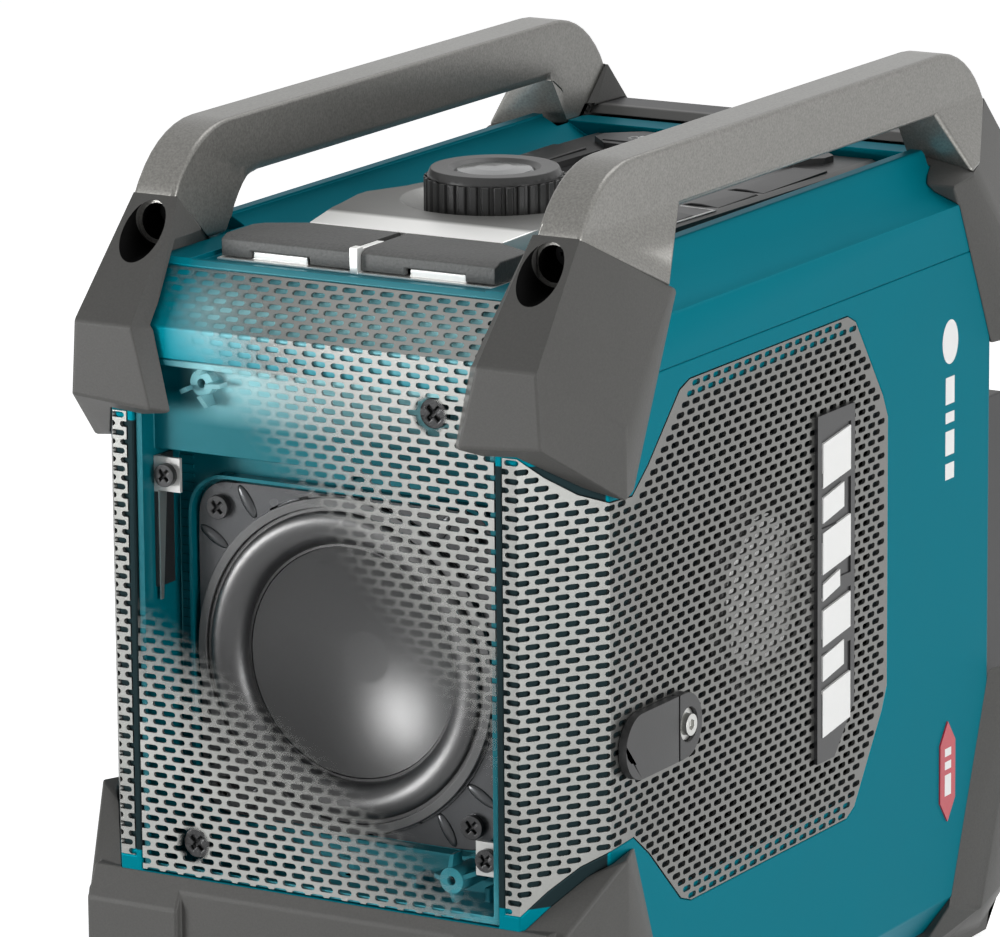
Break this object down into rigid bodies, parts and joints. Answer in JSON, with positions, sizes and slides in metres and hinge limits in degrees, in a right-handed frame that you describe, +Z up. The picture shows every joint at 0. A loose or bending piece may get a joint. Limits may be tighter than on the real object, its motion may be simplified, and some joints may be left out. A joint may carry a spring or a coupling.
{
  "type": "jobsite radio",
  "caption": "Cordless jobsite radio with a perforated steel front, corner bumpers, carrying bars, dial, keys, port flaps and a rear battery door.",
  "frame": {"origin": "on the ground under the middle of the radio's outer box", "axes": "+Z up, -Y out of the front grille, +X to the right as seen from the front"},
  "size_m": [0.2112, 0.366, 0.3403],
  "materials": {
    "teal": "semi-gloss moulded plastic, teal",
    "black_shell": "fine-grained moulded plastic, near black",
    "guard": "matt grained elastomer, dark grey",
    "grip": "satin metallic grey moulding",
    "sheet": "perforated sheet steel, satin",
    "fascia": "satin silver moulding",
    "panel": "matt moulded plastic, black",
    "keys": "matt rubber keys, black",
    "window": "glossy smoked window",
    "dial": "ribbed matt plastic, black",
    "lens": "grey translucent lens",
    "cone": "satin pressed cone, charcoal",
    "metal_cone": "satin metal cone",
    "surround": "rolled rubber, black",
    "stamped": "stamped steel, dark coating",
    "gasket": "pressed ring, black",
    "magnet": "plain ferrite and steel",
    "black_screw": "blackened steel",
    "steel_screw": "plain steel",
    "clip": "blackened spring steel",
    "flap": "matt rubber, black",
    "socket": "plated steel",
    "foot": "matt rubber, black",
    "board": "coated circuit board, green",
    "badge": "black plate with plain white bars",
    "inlay": "red enamel"
  },
  "bodies": {
    "chassis": {"lower_housing": "teal", "upper_housing": "teal", "rear_cover": "black_shell", "front_baffle": "teal", "front_grille": "sheet", "side_grille_right": "sheet", "side_grille_left": "sheet", "upper_bumper_front_right": "guard", "upper_bumper_front_left": "guard", "upper_bumper_rear_right": "guard", "upper_bumper_rear_left": "guard", "lower_bumper_front": "guard", "lower_bumper_rear": "guard", "foot_pads": "foot", "handle_right": "grip", "handle_left": "grip", "bumper_screws": "steel_screw", "baffle_screws": "black_screw", "grille_brackets": "clip", "subwoofer_screws": "black_screw", "subwoofer_basket": "stamped", "subwoofer_gasket": "gasket", "subwoofer_surround": "surround", "subwoofer_magnet": "magnet", "side_speaker_frame_right": "stamped", "side_speaker_frame_left": "stamped", "side_speaker_surround_right": "surround", "side_speaker_surround_left": "surround", "side_speaker_magnets": "magnet", "side_speaker_screws": "black_screw", "control_panel": "panel", "dial_fascia": "fascia", "display_window": "window", "encoder_body": "panel", "port_sockets": "socket", "dc_jack": "panel", "dc_cap_anchor": "flap", "dc_cap_screw": "steel_screw", "battery_terminals": "panel", "circuit_board": "board", "badge_plates": "badge", "accent_inlays": "inlay"},
    "subwoofer_diaphragm": {"subwoofer_cone": "cone"},
    "right_speaker_diaphragm": {"side_speaker_cone_right": "metal_cone"},
    "left_speaker_diaphragm": {"side_speaker_cone_left": "metal_cone"},
    "dial_shaft": {"encoder_shaft": "steel_screw"},
    "dial": {"tuning_knob": "dial", "knob_cap": "lens"},
    "right_key_front": {"key_right_front": "keys"},
    "right_key_middle": {"key_right_middle": "keys"},
    "right_key_rear": {"key_right_rear": "keys"},
    "left_key_front": {"key_left_front": "keys"},
    "left_key_middle": {"key_left_middle": "keys"},
    "left_key_rear": {"key_left_rear": "keys"},
    "power_button": {"power_key": "panel"},
    "right_port_flap": {"port_flap_right": "flap"},
    "left_port_flap": {"port_flap_left": "flap"},
    "socket_cap": {"dc_cap": "flap"},
    "rear_door": {"battery_door": "black_shell"},
    "rear_door_latch": {"door_latch": "panel"}
  },
  "joints": [
    {"name": "subwoofer_stroke", "type": "slide", "parent": "chassis", "child": "subwoofer_diaphragm", "axis": [0, -1, 0], "range_m": [-0.003, 0.003], "stiffness_N_per_m": 2500},
    {"name": "right_speaker_stroke", "type": "slide", "parent": "chassis", "child": "right_speaker_diaphragm", "axis": [1, 0, 0], "range_m": [-0.0015, 0.0015], "stiffness_N_per_m": 1500},
    {"name": "left_speaker_stroke", "type": "slide", "parent": "chassis", "child": "left_speaker_diaphragm", "axis": [-1, 0, 0], "range_m": [-0.0015, 0.0015], "stiffness_N_per_m": 1500},
    {"name": "dial_push", "type": "slide", "parent": "chassis", "child": "dial_shaft", "axis": [0, 0, -1], "range_m": [0, 0.0008], "stiffness_N_per_m": 3000, "springref_m": -0.0008},
    {"name": "dial_spin", "type": "hinge", "parent": "dial_shaft", "child": "dial", "pos_m": [0, -0.0546, 0.31], "axis": [0, 0, 1], "continuous": true},
    {"name": "right_front_key_press", "type": "slide", "parent": "chassis", "child": "right_key_front", "axis": [0, 0, -1], "range_m": [0, 0.001], "stiffness_N_per_m": 1500, "springref_m": -0.0008},
    {"name": "right_middle_key_press", "type": "slide", "parent": "chassis", "child": "right_key_middle", "axis": [0, 0, -1], "range_m": [0, 0.001], "stiffness_N_per_m": 1500, "springref_m": -0.0008},
    {"name": "right_rear_key_press", "type": "slide", "parent": "chassis", "child": "right_key_rear", "axis": [0, 0, -1], "range_m": [0, 0.001], "stiffness_N_per_m": 1500, "springref_m": -0.0008},
    {"name": "left_front_key_press", "type": "slide", "parent": "chassis", "child": "left_key_front", "axis": [0, 0, -1], "range_m": [0, 0.001], "stiffness_N_per_m": 1500, "springref_m": -0.0008},
    {"name": "left_middle_key_press", "type": "slide", "parent": "chassis", "child": "left_key_middle", "axis": [0, 0, -1], "range_m": [0, 0.001], "stiffness_N_per_m": 1500, "springref_m": -0.0008},
    {"name": "left_rear_key_press", "type": "slide", "parent": "chassis", "child": "left_key_rear", "axis": [0, 0, -1], "range_m": [0, 0.001], "stiffness_N_per_m": 1500, "springref_m": -0.0008},
    {"name": "power_press", "type": "slide", "parent": "chassis", "child": "power_button", "axis": [0, 0, -1], "range_m": [0, 0.001], "stiffness_N_per_m": 1500, "springref_m": -0.0008},
    {"name": "right_flap_open", "type": "hinge", "parent": "chassis", "child": "right_port_flap", "pos_m": [0.02, -0.1162, 0.3059], "axis": [-1, 0, 0], "range_deg": [0, 95]},
    {"name": "left_flap_open", "type": "hinge", "parent": "chassis", "child": "left_port_flap", "pos_m": [-0.02, -0.1162, 0.3059], "axis": [-1, 0, 0], "range_deg": [0, 95]},
    {"name": "socket_cap_open", "type": "hinge", "parent": "chassis", "child": "socket_cap", "pos_m": [0.1015, -0.1089, 0.1435], "axis": [0, 0, 1], "range_deg": [0, 100]},
    {"name": "rear_door_open", "type": "hinge", "parent": "chassis", "child": "rear_door", "pos_m": [0, 0.168, 0.034], "axis": [-1, 0, 0], "range_deg": [0, 95]},
    {"name": "latch_slide", "type": "slide", "parent": "rear_door", "child": "rear_door_latch", "axis": [0, 0, -1], "range_m": [0, 0.0045], "stiffness_N_per_m": 800, "springref_m": -0.002}
  ]
}
